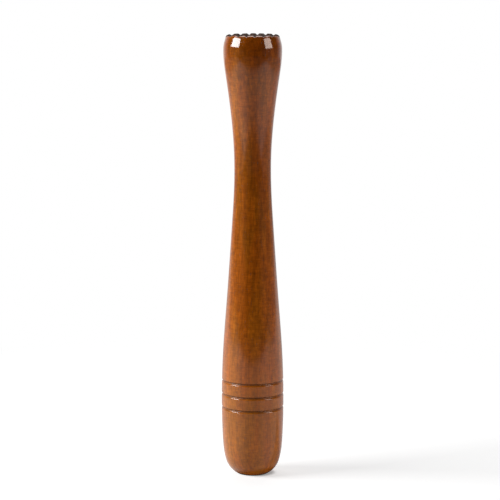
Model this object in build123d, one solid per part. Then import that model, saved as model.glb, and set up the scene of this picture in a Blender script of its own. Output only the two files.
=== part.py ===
from build123d import *

import os

# A bar muddler, turned from one length of hardwood, standing on its rounded end.
# Millimetres. The origin is the centre of the small flat that it stands on, and +Z runs up the
# turning axis to the toothed pressing face.

# Overall
LENGTH = 250.0

# Turned side: each station is (radius, height), and one smooth curve runs through them all.
FOOT_FLAT_RADIUS = 8.6
WIDEST_RADIUS = 17.6
WIDEST_HEIGHT = 44.0
WAIST_RADIUS = 10.32
WAIST_HEIGHT = 176.5
HEAD_RADIUS = 16.5
HEAD_HEIGHT = 241.2
SIDE_STATIONS = [
    (FOOT_FLAT_RADIUS, 0.0),
    (10.9, 1.5),
    (13.35, 4.0),
    (15.75, 10.0),
    (17.1, 22.0),
    (WIDEST_RADIUS, WIDEST_HEIGHT),
    (16.85, 70.2),
    (14.66, 100.4),
    (11.85, 140.5),
    (WAIST_RADIUS, WAIST_HEIGHT),
    (12.0, 203.4),
    (15.05, 226.3),
    (HEAD_RADIUS, HEAD_HEIGHT),
    (16.3, 244.0),
    (15.75, 246.3),
    (15.1, 248.4),
]

# Rim of the head: a small round from the side to the slightly domed pressing face.
FACE_RADIUS = 13.9
FACE_DROP = 0.35
RIM_MIDDLE = (14.7, 249.15)

# Three V grooves round the widest part, all cut down to the same core.
GROOVE_COUNT = 3
GROOVE_PITCH = 7.75
GROOVE_MIDDLE_HEIGHT = 46.5
GROOVE_DEPTH = 0.75
GROOVE_WIDTH = 1.5

# Teeth: V cuts in two crossing rows leave square, flat-topped teeth on the pressing face.
CUT_COUNT = 6
CUT_PITCH = 4.65
CUT_DEPTH = 1.3
CUT_HALF_WIDTH = 1.3
GRID_OFFSET = -0.4
GRID_TURN = -3.0

CLEARANCE = 1.0


def turned_blank():
    """The plain turned shape, before the grooves and the teeth are cut."""
    side = Spline(*SIDE_STATIONS)
    rim = ThreePointArc(SIDE_STATIONS[-1], RIM_MIDDLE, (FACE_RADIUS, LENGTH - FACE_DROP))
    face = TangentArc((0.0, LENGTH), (FACE_RADIUS, LENGTH - FACE_DROP), tangent=(1.0, 0.0))
    axis_line = Line((0.0, LENGTH), (0.0, 0.0))
    foot = Line((0.0, 0.0), SIDE_STATIONS[0])
    half_section = make_face(side + rim + face + axis_line + foot)
    return revolve(Plane.XZ * half_section, Axis.Z, 360)


def groove_cutter(height):
    """A ring of triangular section that cuts one V groove at this height."""
    reach = GROOVE_DEPTH + CLEARANCE
    half_mouth = GROOVE_WIDTH / 2 * reach / GROOVE_DEPTH
    core = WIDEST_RADIUS - GROOVE_DEPTH
    section = make_face(
        Polyline(
            (core, height),
            (core + reach, height - half_mouth),
            (core + reach, height + half_mouth),
            close=True,
        )
    )
    return revolve(Plane.XZ * section, Axis.Z, 360)


def tooth_cutter(offset):
    """A long prism that cuts one V across the pressing face, parallel to Y, at this X."""
    reach = CUT_DEPTH + CLEARANCE
    half_mouth = CUT_HALF_WIDTH * reach / CUT_DEPTH
    floor = LENGTH - CUT_DEPTH
    section = make_face(
        Polyline(
            (offset, floor),
            (offset + half_mouth, floor + reach),
            (offset - half_mouth, floor + reach),
            close=True,
        )
    )
    return extrude(Plane.XZ * section, HEAD_RADIUS * 2, both=True)


def turned_body():
    """The whole muddler: the turned blank with its grooves and its crossing rows of V cuts."""
    body = turned_blank()
    for index in range(GROOVE_COUNT):
        steps = index - (GROOVE_COUNT - 1) / 2
        body -= groove_cutter(GROOVE_MIDDLE_HEIGHT + steps * GROOVE_PITCH)
    for row_angle in (0.0, 90.0):
        for index in range(CUT_COUNT):
            steps = index - (CUT_COUNT - 1) / 2
            offset = steps * CUT_PITCH + GRID_OFFSET
            body -= Rot(0, 0, GRID_TURN + row_angle) * tooth_cutter(offset)
    return body


os.makedirs("parts", exist_ok=True)
export_step(turned_body(), "parts/turned_body.step")
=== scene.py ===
import math

import bpy
import numpy as np
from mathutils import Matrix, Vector


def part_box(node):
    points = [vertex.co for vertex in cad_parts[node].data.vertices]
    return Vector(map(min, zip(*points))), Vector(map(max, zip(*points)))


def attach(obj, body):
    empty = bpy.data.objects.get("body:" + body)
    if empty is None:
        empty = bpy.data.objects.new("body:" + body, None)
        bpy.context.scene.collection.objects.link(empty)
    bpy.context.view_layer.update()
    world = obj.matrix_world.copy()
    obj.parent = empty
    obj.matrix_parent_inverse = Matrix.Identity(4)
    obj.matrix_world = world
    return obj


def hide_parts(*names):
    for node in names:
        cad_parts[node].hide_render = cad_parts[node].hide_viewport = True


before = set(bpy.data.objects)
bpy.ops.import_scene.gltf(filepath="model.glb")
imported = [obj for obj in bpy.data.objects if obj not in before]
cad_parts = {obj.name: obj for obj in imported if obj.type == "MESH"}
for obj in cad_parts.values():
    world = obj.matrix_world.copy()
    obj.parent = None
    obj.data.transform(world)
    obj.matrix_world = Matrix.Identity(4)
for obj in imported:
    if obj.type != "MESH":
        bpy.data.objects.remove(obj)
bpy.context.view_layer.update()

# ---------------------------------------------------------------- sizes, in metres
MM = 0.001
CAD_NODE = "turned_body"
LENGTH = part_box(CAD_NODE)[1].z

# The pressing face and its rows of V cuts, as the CAD part has them
FACE_RADIUS = 13.9 * MM
FACE_DROP = 0.35 * MM
RIM_MIDDLE = (14.7 * MM, LENGTH - 0.85 * MM)
CUT_COUNT = 6
CUT_PITCH = 4.65 * MM
CUT_DEPTH = 1.3 * MM
CUT_HALF_WIDTH = 1.3 * MM
GRID_OFFSET = -0.4 * MM
GRID_TURN = math.radians(-3.0)

# The part of the pressing face that the lacquer left bare: a disc a little behind the middle,
# less what of it lies past the rim
RAW_RADIUS = 15.4 * MM
RAW_OFFSET = 1.6 * MM
RAW_LIMIT = 15.35 * MM

# The V grooves round the widest part, and the stretch of the side that holds them
GROOVE_DEPTH = 0.75 * MM
GROOVE_HALF_WIDTH = 0.75 * MM
GROOVES_ABOVE = 0.12 * LENGTH
GROOVES_BELOW = 0.25 * LENGTH

# How far the lacquer rounds the edges that were cut sharp
TOOTH_ROUND = 0.3 * MM
CUT_FLOOR_ROUND = 0.18 * MM
GROOVE_LIP_ROUND = 0.25 * MM
GROOVE_FLOOR_ROUND = 0.12 * MM

# The radii are drawn in by this much, so that the finished surface stays inside the CAD part
SNUG = 0.998

# The side is read from the CAD part up to just under the cuts, at points this far apart,
# and closer together near both ends
CUT_MARGIN = 0.25 * MM
SIDE_STEP = 3.5 * MM
END_STEP = 0.6 * MM
FOOT_STRETCH = 6 * MM
HEAD_STRETCH = 12 * MM

# Mesh density. A ring has SEGMENTS vertices, and twice as many above each of two doublings,
# measured down from the top; the grid of the pressing face begins where the rings end.
SEGMENTS = 160
RING_STEP = 1.25 * MM
GROOVE_RING_STEP = 0.12 * MM
FIRST_DOUBLING = 9.0 * MM
SECOND_DOUBLING = 5.5 * MM
FACE_GRID = 4.5 * MM
DOUBLED_STEP = 0.9 * MM
LAST_STEP = 0.35 * MM
FIRST_ANGLE = GRID_TURN - 3 * math.pi / 4


# ---------------------------------------------------------------- outline, read from the frame
class Curve:
    """A natural cubic spline through values given at rising places."""

    def __init__(self, at, values):
        self.at = np.asarray(at, float)
        self.values = np.asarray(values, float)
        step = np.diff(self.at)
        slope = np.diff(self.values) / step
        count = len(self.at)
        matrix = np.eye(count)
        right = np.zeros(count)
        for i in range(1, count - 1):
            matrix[i, i - 1] = step[i - 1]
            matrix[i, i] = 2 * (step[i - 1] + step[i])
            matrix[i, i + 1] = step[i]
            right[i] = 6 * (slope[i] - slope[i - 1])
        self.bend = np.linalg.solve(matrix, right)

    def __call__(self, place):
        place = np.clip(place, self.at[0], self.at[-1])
        i = np.clip(np.searchsorted(self.at, place) - 1, 0, len(self.at) - 2)
        step = self.at[i + 1] - self.at[i]
        a = (self.at[i + 1] - place) / step
        b = (place - self.at[i]) / step
        bent = (a**3 - a) * self.bend[i] + (b**3 - b) * self.bend[i + 1]
        return a * self.values[i] + b * self.values[i + 1] + bent * step**2 / 6


def cad_points():
    """Height and radius of every vertex of the CAD part."""
    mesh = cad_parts[CAD_NODE].data
    co = np.empty(len(mesh.vertices) * 3)
    mesh.vertices.foreach_get("co", co)
    co = co.reshape(-1, 3)
    return co[:, 2], np.hypot(co[:, 0], co[:, 1])


def groove_heights():
    """Heights of the grooves, where the CAD part's widest stretch is cut down to its core."""
    height, radius = cad_points()
    core = radius.max() - GROOVE_DEPTH
    stretch = (height > GROOVES_ABOVE) & (height < GROOVES_BELOW)
    cut = (abs(radius - core) < 0.02 * MM) & stretch
    return np.unique(np.round(height[cut] / MM, 1)) * MM


def outline():
    """Radius and height as functions of the distance along the turned outline, from the edge of the
    foot flat, up the side and over the rim, to the middle of the pressing face."""
    height, radius = cad_points()
    side = height < LENGTH - CUT_DEPTH - CUT_MARGIN
    for groove in GROOVES:
        side &= abs(height - groove) > GROOVE_HALF_WIDTH * 1.02
    points = [(radius[height < 0.001 * MM].max(), 0.0)]
    for z, r in sorted(zip(height[side], radius[side])):
        near_an_end = z < FOOT_STRETCH or z > LENGTH - HEAD_STRETCH
        if z - points[-1][1] > (END_STEP if near_an_end else SIDE_STEP):
            points.append((r, z))
    points.append(RIM_MIDDLE)
    for share in (1.0, 0.8, 0.6, 0.4, 0.2, 0.0):
        points.append((share * FACE_RADIUS, LENGTH - FACE_DROP * share**2))
    points = np.array(points)
    points[:, 0] *= SNUG
    along = np.concatenate([[0.0], np.cumsum(np.hypot(*np.diff(points, axis=0).T))])
    return Curve(along, points[:, 0]), Curve(along, points[:, 1]), along[-1]


def place_at_height(height):
    """Distance along the outline at which the side reaches this height."""
    places = np.linspace(0.0, OUTLINE_LENGTH, 20001)
    return float(np.interp(height, HEIGHT_AT(places), places))


GROOVES = groove_heights()
RADIUS_AT, HEIGHT_AT, OUTLINE_LENGTH = outline()
GROOVE_PLACE = {groove: place_at_height(groove) for groove in GROOVES}


# ---------------------------------------------------------------- the turned body
def soft_min(a, b, width):
    """The lower of a and b, with the corner between them rounded over this width."""
    mix = np.clip(0.5 + 0.5 * (b - a) / width, 0.0, 1.0)
    return b + (a - b) * mix - width * mix * (1 - mix)


def groove_radius(radius, height):
    """The radius once the grooves are cut."""
    for groove in GROOVES:
        core = RADIUS_AT(GROOVE_PLACE[groove]) - GROOVE_DEPTH
        offset = np.hypot(height - groove, GROOVE_FLOOR_ROUND) - 0.5 * GROOVE_FLOOR_ROUND
        flank = core + offset * GROOVE_DEPTH / GROOVE_HALF_WIDTH
        radius = soft_min(radius, flank, GROOVE_LIP_ROUND)
    return radius


def cut_height(x, y, height):
    """The height once the two crossing rows of V cuts are made."""
    along = x * math.cos(GRID_TURN) + y * math.sin(GRID_TURN)
    across = y * math.cos(GRID_TURN) - x * math.sin(GRID_TURN)
    for place in (along, across):
        for index in range(CUT_COUNT):
            middle = (index - (CUT_COUNT - 1) / 2) * CUT_PITCH + GRID_OFFSET
            offset = np.hypot(place - middle, CUT_FLOOR_ROUND)
            flank = LENGTH - CUT_DEPTH + offset * CUT_DEPTH / CUT_HALF_WIDTH
            height = soft_min(height, flank, TOOTH_ROUND)
    return height


def disc_grid(cells):
    """Points of a square grid bent into the unit disc, row by row, and the indices of its edge,
    evenly spaced by angle and anticlockwise from the first corner."""
    line = math.sqrt(2) * np.sin(math.pi / 4 * np.linspace(-1, 1, cells + 1))
    v, u = np.meshgrid(line, line, indexing="ij")
    x = u * np.sqrt(1 - v**2 / 2)
    y = v * np.sqrt(1 - u**2 / 2)
    side = np.arange(cells)
    width = cells + 1
    edge = np.concatenate([
        side,
        side * width + cells,
        cells * width + cells - side,
        (cells - side) * width,
    ])
    return x.ravel(), y.ravel(), edge


def disc_faces(cells, first, upward):
    """The quads of a disc grid whose points start at this index."""
    width = cells + 1
    faces = []
    for j in range(cells):
        for i in range(cells):
            a = first + j * width + i
            quad = (a, a + 1, a + width + 1, a + width)
            faces.append(quad if upward else quad[::-1])
    return faces


def placed(name, data):
    """A new object with this mesh, lamp or camera, in the scene."""
    piece = bpy.data.objects.new(name, data)
    bpy.context.scene.collection.objects.link(piece)
    return piece


class Shell:
    """Vertices and faces gathered from the foot upwards."""

    def __init__(self):
        self.points = []
        self.faces = []

    def add(self, points):
        first = len(self.points)
        self.points.extend(points)
        return first

    def band(self, below, above):
        """Joins a ring of vertex indices to the next one up, which may be twice as fine."""
        count = len(below)
        doubled = len(above) == 2 * count
        for i in range(count):
            j = (i + 1) % count
            if doubled:
                middle, last = 2 * i + 1, (2 * i + 2) % len(above)
                self.faces.append((below[i], below[j], above[last], above[middle], above[2 * i]))
            else:
                self.faces.append((below[i], below[j], above[j], above[i]))

    def mesh(self, name):
        mesh = bpy.data.meshes.new(name)
        points = [tuple(map(float, point)) for point in self.points]
        faces = [tuple(map(int, face)) for face in self.faces]
        mesh.from_pydata(points, [], faces)
        return mesh


def ring_points(count, radius, height):
    angle = FIRST_ANGLE + 2 * math.pi * np.arange(count) / count
    return [(radius * math.cos(a), radius * math.sin(a), height) for a in angle]


def ring_places(start, stop):
    """Where the rings stand along the outline: close together in the grooves, wider elsewhere."""
    places = [start]
    while places[-1] < stop - 0.5 * RING_STEP:
        near = min(abs(places[-1] + 0.5 * RING_STEP - p) for p in GROOVE_PLACE.values())
        in_a_groove = near < GROOVE_HALF_WIDTH + 0.9 * RING_STEP
        places.append(places[-1] + (GROOVE_RING_STEP if in_a_groove else RING_STEP))
    places[-1] = stop
    return places


def side_rings():
    """The places of the rings up the side, with the number of vertices that each ring has."""
    first = place_at_height(LENGTH - FIRST_DOUBLING)
    second = place_at_height(LENGTH - SECOND_DOUBLING)
    return [
        (SEGMENTS, ring_places(0.0, first)[1:]),
        (2 * SEGMENTS, np.arange(first + DOUBLED_STEP, second, DOUBLED_STEP)),
        (4 * SEGMENTS, [second + LAST_STEP, second + 2 * LAST_STEP]),
    ]


def turned_body():
    """The foot flat as a disc, the side as rings, and the pressing face as a finer disc."""
    shell = Shell()
    turn = complex(math.cos(GRID_TURN), math.sin(GRID_TURN))
    foot_cells = SEGMENTS // 4
    x, y, edge = disc_grid(foot_cells)
    flat = (x + 1j * y) * turn * RADIUS_AT(0.0)
    first = shell.add([(p.real, p.imag, 0.0) for p in flat])
    shell.faces += disc_faces(foot_cells, first, upward=False)
    ring = first + edge

    for count, places in side_rings():
        for place in places:
            height = HEIGHT_AT(place)
            radius = groove_radius(RADIUS_AT(place), height)
            first = shell.add(ring_points(count, float(radius), float(height)))
            above = first + np.arange(count)
            shell.band(ring, above)
            ring = above

    x, y, edge = disc_grid(SEGMENTS)
    reach = np.hypot(x, y)
    face_at = place_at_height(LENGTH - FACE_GRID)
    place = OUTLINE_LENGTH - reach * (OUTLINE_LENGTH - face_at)
    scale = RADIUS_AT(place) / np.maximum(reach, 1e-9)
    top = (x + 1j * y) * scale * turn
    height = cut_height(top.real, top.imag, HEIGHT_AT(place))
    first = shell.add(list(zip(top.real, top.imag, height)))
    shell.band(ring, first + edge)
    first_top_face = len(shell.faces)
    shell.faces += disc_faces(SEGMENTS, first, upward=True)
    raw = np.hypot(top.real, top.imag - RAW_OFFSET) < RAW_RADIUS
    raw &= np.hypot(top.real, top.imag) < RAW_LIMIT

    mesh = shell.mesh("lacquered_body")
    for index in range(first_top_face, len(mesh.polygons)):
        corners = [corner - first for corner in mesh.polygons[index].vertices]
        mesh.polygons[index].material_index = int(raw[corners].all())
    mesh.shade_smooth()
    return placed("lacquered_body", mesh)


body = turned_body()
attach(body, "root")
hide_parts(CAD_NODE)


# ---------------------------------------------------------------- node helpers
def new_material(name):
    material = bpy.data.materials.new(name)
    material.use_nodes = True
    return material, material.node_tree


def linked(tree, kind, **inputs):
    """A new node with some inputs set to numbers or joined to sockets. An input is given by its
    name, or by its index after an underscore."""
    node = tree.nodes.new(kind)
    for name, value in inputs.items():
        socket = node.inputs[int(name[1:])] if name[0] == "_" else node.inputs[name.replace("_", " ")]
        if isinstance(value, bpy.types.NodeSocket):
            tree.links.new(value, socket)
        else:
            socket.default_value = value
    return node


def object_place(tree):
    """The place on the piece: the whole vector, then X, Y and Z."""
    place = tree.nodes.new("ShaderNodeTexCoord").outputs["Object"]
    parts = linked(tree, "ShaderNodeSeparateXYZ", _0=place).outputs
    return place, parts["X"], parts["Y"], parts["Z"]


def math_node(tree, operation, first, second=0.0):
    node = linked(tree, "ShaderNodeMath", _0=first, _1=second)
    node.operation = operation
    return node.outputs[0]


def product(tree, *factors):
    """All the factors multiplied together."""
    result = factors[0]
    for factor in factors[1:]:
        result = math_node(tree, "MULTIPLY", result, factor)
    return result


def total(tree, *terms):
    """All the terms added together."""
    result = terms[0]
    for term in terms[1:]:
        result = math_node(tree, "ADD", result, term)
    return result


def level_distance(tree, x, y):
    """How far apart two places on one level are, from their distances along X and Y."""
    return math_node(tree, "SQRT", total(tree, product(tree, x, x), product(tree, y, y)))


def ease(tree, value, low, high, out_low=0.0, out_high=1.0):
    """A smooth step from out_low at low to out_high at high."""
    node = linked(tree, "ShaderNodeMapRange", Value=value, From_Min=low, From_Max=high)
    node.interpolation_type = "SMOOTHSTEP"
    node.inputs["To Min"].default_value = out_low
    node.inputs["To Max"].default_value = out_high
    return node.outputs["Result"]


def colour_mix(tree, factor, first, second):
    node = tree.nodes.new("ShaderNodeMix")
    node.data_type = "RGBA"
    tree.links.new(factor, node.inputs[0])
    node.inputs[6].default_value = first
    node.inputs[7].default_value = second
    return node.outputs[2]


def scaled_colour(tree, colour, value):
    node = linked(tree, "ShaderNodeVectorMath", _0=colour, _3=value)
    node.operation = "SCALE"
    return node.outputs[0]


def grain_noise(tree, place, across, along, seed, detail=2.0):
    """Noise whose features are this wide across the grain and this long along it, in metres."""
    spot = linked(tree, "ShaderNodeMapping", Vector=place)
    spot.inputs["Scale"].default_value = (1 / across, 1 / across, 1 / along)
    spot.inputs["Location"].default_value = (seed, 2.7 * seed, 1.3 * seed)
    noise = linked(tree, "ShaderNodeTexNoise", Vector=spot.outputs[0], Scale=1.0, Detail=detail)
    return noise.outputs["Fac"]


def ramp(tree, value, stops):
    """Greys at places from 0 to 1, with smooth steps between them."""
    node = linked(tree, "ShaderNodeValToRGB", Fac=value)
    node.color_ramp.interpolation = "EASE"
    elements = node.color_ramp.elements
    for index, (at, shade) in enumerate(stops):
        element = elements[index] if index < len(elements) else elements.new(at)
        element.position = at
        element.color = (shade, shade, shade, 1)
    return node.outputs["Color"]


def bumped(tree, shader, height, depth):
    """Gives the shader this relief, with a full height of this depth in metres."""
    bump = linked(tree, "ShaderNodeBump", Height=height, Strength=1.0, Distance=depth)
    tree.links.new(bump.outputs[0], shader.inputs["Normal"])


def show(tree, shader_output):
    """Makes this the surface of the material."""
    tree.links.new(shader_output, tree.nodes["Material Output"].inputs["Surface"])


# ---------------------------------------------------------------- the wood
PITH = (-0.034, 0.047)
RING_WIDTH = 2.3 * MM
RING_WANDER = 9 * MM
RING_LEAN = 0.02
GRAIN_RED = (0.177, 0.036, 0.0012, 1)
GRAIN_GOLD = (0.173, 0.052, 0.0026, 1)
END_GRAIN = (0.020, 0.0075, 0.003)

# How dark the wood colour is made, as a grey at each share of the length up from the foot, and the
# grey that leaves the grain colours as they are
TONE_ALONG = (
    (0.0, 1.0),
    (0.2, 0.97),
    (0.35, 0.82),
    (0.52, 0.72),
    (0.68, 0.66),
    (0.85, 0.76),
    (0.92, 0.62),
    (0.97, 0.48),
)
TONE_WHITE = 0.80

# Depth of the relief on the lacquer, and on the bare end grain
LACQUER_RELIEF = 0.012 * MM
END_GRAIN_RELIEF = 0.05 * MM


def growth_rings(tree):
    """Dark late wood at the outer edge of each ring, round a pith that lies beside the piece."""
    place, x, y, z = object_place(tree)
    wander = grain_noise(tree, place, 14 * MM, 110 * MM, seed=3.1, detail=3.0)
    from_pith = level_distance(
        tree,
        math_node(tree, "SUBTRACT", x, PITH[0]),
        math_node(tree, "SUBTRACT", y, PITH[1]),
    )
    reach = total(tree, from_pith, product(tree, wander, RING_WANDER), product(tree, z, RING_LEAN))
    share = math_node(tree, "FRACT", math_node(tree, "DIVIDE", reach, RING_WIDTH))
    late = ease(tree, share, 0.45, 0.93)
    early = ease(tree, share, 0.94, 1.0)
    return math_node(tree, "SUBTRACT", late, early)


def clear_of_grooves(tree, z):
    """1 away from the grooves, falling to 0 at the bottom of each."""
    nearest = 1.0
    for groove in GROOVES:
        offset = math_node(tree, "ABSOLUTE", math_node(tree, "SUBTRACT", z, float(groove)))
        nearest = math_node(tree, "MINIMUM", offset, nearest)
    return ease(tree, nearest, 0.25 * MM, 1.05 * MM)


def wood_figure(tree, fibre, ripple):
    """Light and dark in the grain: fibres, streaks, blotches and cross ripples, about 1. They are
    fainter towards the foot."""
    place, _, _, z = object_place(tree)
    streak = grain_noise(tree, place, 2.2 * MM, 35 * MM, seed=5.3, detail=3.0)
    blotch = grain_noise(tree, place, 2.4 * MM, 2.4 * MM, seed=8.9)
    figure = product(
        tree,
        ease(tree, fibre, 0.3, 0.7, 0.84, 1.16),
        ease(tree, streak, 0.3, 0.7, 0.87, 1.13),
        ease(tree, blotch, 0.3, 0.7, 0.88, 1.12),
        ease(tree, ripple, 0.3, 0.7, 0.88, 1.12),
    )
    strength = ease(tree, z, 30 * MM, 120 * MM, 0.78, 1.0)
    contrast = math_node(tree, "SUBTRACT", figure, 1.0)
    return total(tree, product(tree, contrast, strength), 1.0)


def wood_tint(tree):
    """Redder and more golden stretches of the stain. It is more golden below the head and near the
    foot; the extra gold along the left side is painted light, the warmer look of the lit side."""
    place, x, _, z = object_place(tree)
    drift = grain_noise(tree, place, 6 * MM, 40 * MM, seed=4.4)
    head = ease(tree, z, 225 * MM, 243 * MM)
    golden = total(
        tree,
        ease(tree, drift, 0.35, 0.65, 0.0, 0.4),
        ease(tree, head, 0.0, 1.0, 0.22, 0.05),
        ease(tree, z, 35 * MM, 65 * MM, 0.2, 0.0),
        # Painted light: more gold towards -X, the side that the key light falls on
        ease(tree, x, -13 * MM, 0.0, 0.2, 0.0),
    )
    return colour_mix(tree, golden, GRAIN_RED, GRAIN_GOLD)


def lacquered_wood():
    """Stained hardwood, with its grain along the length, under a thin gloss lacquer."""
    material, tree = new_material("lacquered_wood")
    shader = tree.nodes["Principled BSDF"]
    place, _, _, z = object_place(tree)
    fibre = grain_noise(tree, place, 0.6 * MM, 5 * MM, seed=1.7, detail=3.0)
    ripple = grain_noise(tree, place, 4.5 * MM, 0.7 * MM, seed=2.3)
    pore_field = grain_noise(tree, place, 0.42 * MM, 2.6 * MM, seed=9.7, detail=1.0)
    pores = ease(tree, pore_field, 0.66, 0.74)
    clear = clear_of_grooves(tree, z)

    # The last three factors darken the pores, the bottoms of the grooves and the edge of the foot,
    # the last as painted contact shade
    tone = ramp(tree, math_node(tree, "DIVIDE", z, LENGTH), TONE_ALONG)
    value = product(
        tree,
        math_node(tree, "DIVIDE", tone, TONE_WHITE),
        ease(tree, growth_rings(tree), 0.0, 1.0, 1.03, 0.91),
        wood_figure(tree, fibre, ripple),
        ease(tree, pores, 0.0, 1.0, 1.0, 0.55),
        ease(tree, clear, 0.0, 1.0, 0.6, 1.0),
        # Painted contact shade: the wood is made darker in the last millimetre or so above the foot
        # flat
        ease(tree, z, 0.2 * MM, 1.3 * MM, 0.25, 1.0),
    )
    tree.links.new(scaled_colour(tree, wood_tint(tree), value), shader.inputs["Base Color"])

    # Gloss, duller where the pores are open and where the lacquer is thin in the grooves
    dull_pores = ease(tree, pores, 0.0, 1.0, 0.0, 0.22)
    dull_grooves = ease(tree, clear, 0.0, 1.0, 0.3, 0.0)
    tree.links.new(total(tree, dull_pores, dull_grooves, 0.08), shader.inputs["Roughness"])

    # Relief: the grain under the lacquer, sunken pores, and the orange peel of the lacquer itself
    peel = grain_noise(tree, place, 2.4 * MM, 3.2 * MM, seed=6.1, detail=1.0)
    grain = math_node(tree, "SUBTRACT", product(tree, fibre, 0.25), product(tree, pores, 0.5))
    bumped(tree, shader, total(tree, grain, product(tree, ripple, 0.3), peel), LACQUER_RELIEF)
    return material


def raw_end_grain():
    """The cut teeth of the pressing face: end grain that drank the stain and went nearly black,
    too open for the lacquer to leave a gloss on it."""
    material, tree = new_material("raw_end_grain")
    shader = tree.nodes["Principled BSDF"]
    place = object_place(tree)[0]
    pore_dots = grain_noise(tree, place, 0.35 * MM, 2.0 * MM, seed=3.9)
    stain = grain_noise(tree, place, 3.0 * MM, 3.0 * MM, seed=7.5, detail=3.0)
    shade = product(
        tree,
        ease(tree, pore_dots, 0.35, 0.65, 1.25, 0.6),
        ease(tree, stain, 0.3, 0.7, 0.75, 1.3),
    )
    tree.links.new(scaled_colour(tree, END_GRAIN, shade), shader.inputs["Base Color"])
    tree.links.new(ease(tree, stain, 0.3, 0.7, 0.55, 0.75), shader.inputs["Roughness"])
    shader.inputs["Specular IOR Level"].default_value = 0.04
    bumped(tree, shader, total(tree, pore_dots, stain), END_GRAIN_RELIEF)
    return material


body.data.materials.append(lacquered_wood())
body.data.materials.append(raw_end_grain())


# ---------------------------------------------------------------- the stage
FLOOR_BACK = 0.42
FLOOR_FRONT = 0.11
FLOOR_RINGS = 24
FLOOR_SPOKES = 96
FLOOR_WHITE = (0.56, 0.56, 0.56, 1)
FLOOR_GLOW = 0.67
CONTACT_GLOW = 0.30
CONTACT_SHIFT = 2.8 * MM
ROOM_RADIUS = 2.4
ROOM_TURN = 140
ROOM_TILT = 88
LIT_TABLE_REACH = 0.68 * ROOM_RADIUS
SHADOW_SLANT = 0.23


def contact_reach(tree, x, y):
    """Distance on the table from the middle of the contact shade, which lies off to the right."""
    return level_distance(tree, math_node(tree, "SUBTRACT", x, CONTACT_SHIFT), y)


def floor_mesh():
    """A flat oval of rings that lie closer together near the object."""
    points = [(0.0, 0.0, 0.0)]
    for ring in range(1, FLOOR_RINGS + 1):
        share = (ring / FLOOR_RINGS) ** 1.5
        for spoke in range(FLOOR_SPOKES):
            angle = 2 * math.pi * spoke / FLOOR_SPOKES
            depth = FLOOR_BACK if math.sin(angle) > 0 else FLOOR_FRONT
            x = FLOOR_BACK * share * math.cos(angle)
            y = depth * share * math.sin(angle)
            points.append((x, y, 0.0))
    faces = [(0, 1 + i, 1 + (i + 1) % FLOOR_SPOKES) for i in range(FLOOR_SPOKES)]
    for ring in range(FLOOR_RINGS - 1):
        inner = 1 + ring * FLOOR_SPOKES
        outer = inner + FLOOR_SPOKES
        for i in range(FLOOR_SPOKES):
            j = (i + 1) % FLOOR_SPOKES
            faces.append((inner + i, outer + i, outer + j, inner + j))
    mesh = bpy.data.meshes.new("floor")
    mesh.from_pydata(points, [], faces)
    return mesh


def white_table():
    """White with a glow of its own, turned down beside the foot as a painted contact shadow, that
    turns into plain white light towards the edge of the oval."""
    material, tree = new_material("white_table")
    shader = tree.nodes["Principled BSDF"]
    shader.inputs["Base Color"].default_value = FLOOR_WHITE
    shader.inputs["Roughness"].default_value = 1.0
    shader.inputs["Specular IOR Level"].default_value = 0.0
    shader.inputs["Emission Color"].default_value = (1, 1, 1, 1)
    _, x, y, _ = object_place(tree)
    off_contact = contact_reach(tree, x, y)
    # Painted contact shadow: the glow drops to CONTACT_GLOW close to the foot, centred off to the
    # right
    glow = ease(tree, off_contact, 8.0 * MM, 11.5 * MM, CONTACT_GLOW, FLOOR_GLOW)
    tree.links.new(glow, shader.inputs["Emission Strength"])
    ahead = math_node(tree, "MAXIMUM", y, 0.0)
    behind = math_node(tree, "MINIMUM", y, 0.0)
    depth = total(tree, ahead, product(tree, behind, FLOOR_BACK / FLOOR_FRONT))
    reach = level_distance(tree, x, depth)
    fade = ease(tree, reach, 0.55 * FLOOR_BACK, 0.97 * FLOOR_BACK)
    white = linked(tree, "ShaderNodeEmission", Strength=1.0)
    mix = linked(tree, "ShaderNodeMixShader", _0=fade, _1=shader.outputs[0], _2=white.outputs[0])
    show(tree, mix.outputs[0])
    return material


def stage_floor():
    """A white table top, oval and set back, that fades into the white surroundings at its edge."""
    floor = placed("floor", floor_mesh())
    floor.data.materials.append(white_table())
    floor.visible_glossy = False
    return floor


def table_brightness(tree):
    """How bright each place of the table top is in the lacquer."""
    _, x, y, _ = object_place(tree)
    reach = level_distance(tree, x, y)
    side = math_node(tree, "DIVIDE", x, reach)
    left = ease(tree, side, -0.95, -0.2, 1.0, 0.5)
    right = ease(tree, side, 0.2, 0.85, 0.0, 0.28)
    front = ease(tree, y, -0.80, -0.56, 0.15, 1.0)
    ends = ease(tree, math_node(tree, "ABSOLUTE", x), 0.78, 1.00, 1.0, 0.35)
    # The object's own shadow: a strip that starts at the foot and fades out to the right
    off_line = math_node(tree, "SUBTRACT", y, product(tree, x, SHADOW_SLANT))
    shadow = product(
        tree,
        ease(tree, math_node(tree, "ABSOLUTE", off_line), 8 * MM, 30 * MM, 1.0, 0.0),
        ease(tree, x, 0.0, 20 * MM),
        ease(tree, x, 60 * MM, 250 * MM, 1.0, 0.0),
    )
    shade = ease(tree, shadow, 0.0, 1.0, 1.0, 0.38)
    # Painted contact shade in the reflected table, round the foot and off to the right
    contact = ease(tree, contact_reach(tree, x, y), 11.5 * MM, 17.5 * MM, 0.05, 1.0)
    return product(tree, total(tree, left, right), front, ends, shade, contact)


def lit_table():
    """The table top as the lacquer reflects it: bright on the left, dimmer ahead and on the right,
    dim where the object shades it, and fading out towards the unlit room."""
    far = LIT_TABLE_REACH
    corners = [(-far, -far), (far, -far), (far, far), (-far, far)]
    mesh = bpy.data.meshes.new("lit_table")
    mesh.from_pydata([(x, y, -1 * MM) for x, y in corners], [], [(0, 1, 2, 3)])
    table = placed("lit_table", mesh)
    table.visible_camera = False
    table.visible_shadow = False
    material, tree = new_material("lit_table")
    glow = linked(tree, "ShaderNodeEmission", Strength=table_brightness(tree))
    show(tree, glow.outputs[0])
    mesh.materials.append(material)


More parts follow.
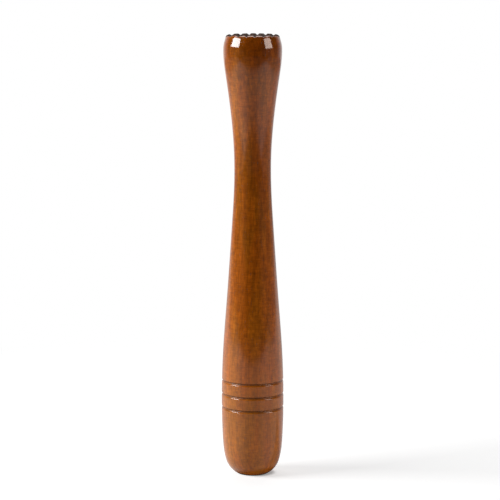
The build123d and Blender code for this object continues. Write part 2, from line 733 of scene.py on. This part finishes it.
def room_mesh():
    """A dome round the camera's side, open behind the object."""
    columns, rows = 48, 32
    points = []
    for row in range(rows + 1):
        tilt = math.radians(-ROOM_TILT + 2 * ROOM_TILT * row / rows)
        level = ROOM_RADIUS * math.cos(tilt)
        height = ROOM_RADIUS * math.sin(tilt)
        for column in range(columns + 1):
            turn = math.radians(-ROOM_TURN + 2 * ROOM_TURN * column / columns)
            points.append((level * math.sin(turn), -level * math.cos(turn), height))
    faces = []
    for row in range(rows):
        for column in range(columns):
            a = row * (columns + 1) + column
            faces.append((a, a + 1, a + columns + 2, a + columns + 1))
    mesh = bpy.data.meshes.new("dark_room")
    mesh.from_pydata(points, [], faces)
    return mesh


def room_brightness(tree):
    """Nearly black ahead, dim low down at the sides, and pale towards the back."""
    _, x, y, z = object_place(tree)
    aside = math_node(tree, "ABSOLUTE", x)
    sides = ease(tree, aside, 0.4 * ROOM_RADIUS, 0.85 * ROOM_RADIUS, 0.015, 0.12)
    low = ease(tree, z, 0.06 * ROOM_RADIUS, 0.2 * ROOM_RADIUS, 1.0, 0.2)
    back = ease(tree, y, 0.3 * ROOM_RADIUS, 0.85 * ROOM_RADIUS, 0.0, 0.85)
    return total(tree, product(tree, sides, low), back)


def dark_room():
    """The unlit side of the studio, seen only in reflections and by stray light."""
    room = placed("dark_room", room_mesh())
    room.visible_camera = False
    material, tree = new_material("unlit_room")
    glow = linked(tree, "ShaderNodeEmission", Strength=room_brightness(tree))
    show(tree, glow.outputs[0])
    room.data.materials.append(material)


# ---------------------------------------------------------------- light and camera
PANEL_DISTANCE = 0.9
PANEL_TOP = 31
CAMERA_PLACE = (0.0, -1.255, 0.315)
CAMERA_AIM = (-0.0015, 0.0, 0.12853)
CAMERA_SENSOR = 36.0
CAMERA_LENS = 161.86


def softbox(name, azimuth, low, spread, radiance):
    """An upright light panel. Azimuth is in degrees from the camera's side, towards +X; low is the
    elevation of its lower edge and spread its width, in degrees, as seen from the head."""
    turn = math.radians(azimuth)
    out = Vector((math.sin(turn), -math.cos(turn), 0.0))
    bottom = PANEL_DISTANCE * math.tan(math.radians(low))
    top = PANEL_DISTANCE * math.tan(math.radians(PANEL_TOP))
    lamp = bpy.data.lights.new(name, "AREA")
    lamp.shape = "RECTANGLE"
    lamp.size = 2 * PANEL_DISTANCE * math.tan(math.radians(spread / 2))
    lamp.size_y = top - bottom
    lamp.energy = radiance * math.pi * lamp.size * lamp.size_y
    panel = placed(name, lamp)
    panel.location = out * PANEL_DISTANCE + Vector((0.0, 0.0, LENGTH + (bottom + top) / 2))
    panel.rotation_euler = (-out).to_track_quat("-Z", "Y").to_euler()
    panel.visible_camera = False
    return panel


def overhead_softbox(height, back, width, radiance):
    """A level light panel, this far above the head and behind it."""
    lamp = bpy.data.lights.new("overhead_softbox", "AREA")
    lamp.shape = "SQUARE"
    lamp.size = width
    lamp.energy = radiance * math.pi * width**2
    panel = placed("overhead_softbox", lamp)
    panel.location = (0.0, back, LENGTH + height)
    panel.visible_camera = False
    return panel


def light_only(panel, piece):
    """The panel lights this piece alone, as flags keep a studio light off all the rest."""
    lit = bpy.data.collections.new(f"{panel.name}_lights")
    lit.objects.link(piece)
    panel.light_linking.receiver_collection = lit


def studio_lights(floor):
    """Two softboxes that the lacquer reflects at the head, a strip on each side that it doesn't,
    one overhead, and one that lights the table alone and throws the shadow."""
    key = softbox("left_softbox", azimuth=-75, low=8, spread=37, radiance=21)
    key_strip = softbox("left_strip", azimuth=-102, low=4, spread=22, radiance=36)
    fill_strip = softbox("right_strip", azimuth=72, low=4, spread=22, radiance=7.6)
    fill = softbox("right_softbox", azimuth=67, low=4, spread=31, radiance=8.2)
    fill.data.color = (1.0, 0.87, 0.77)
    overhead = overhead_softbox(height=0.6, back=0.28, width=0.6, radiance=4.0)
    for panel in (key, key_strip, fill_strip, fill, overhead):
        light_only(panel, body)
    for strip in (key_strip, fill_strip):
        strip.visible_glossy = False
    table_light = softbox("table_light", azimuth=-80, low=6, spread=36, radiance=15.5)
    light_only(table_light, floor)


def studio_world():
    world = bpy.data.worlds.new("studio")
    world.use_nodes = True
    background = world.node_tree.nodes["Background"]
    background.inputs["Color"].default_value = (1, 1, 1, 1)
    background.inputs["Strength"].default_value = 1.0
    bpy.context.scene.world = world


def studio_camera():
    camera = placed("camera", bpy.data.cameras.new("camera"))
    camera.data.sensor_width = CAMERA_SENSOR
    camera.data.lens = CAMERA_LENS
    camera.location = CAMERA_PLACE
    view = Vector(CAMERA_AIM) - camera.location
    camera.rotation_euler = view.to_track_quat("-Z", "Y").to_euler()
    bpy.context.scene.camera = camera


lit_floor = stage_floor()
lit_table()
dark_room()
studio_lights(lit_floor)
studio_world()
studio_camera()
bpy.context.scene.view_settings.view_transform = "Standard"
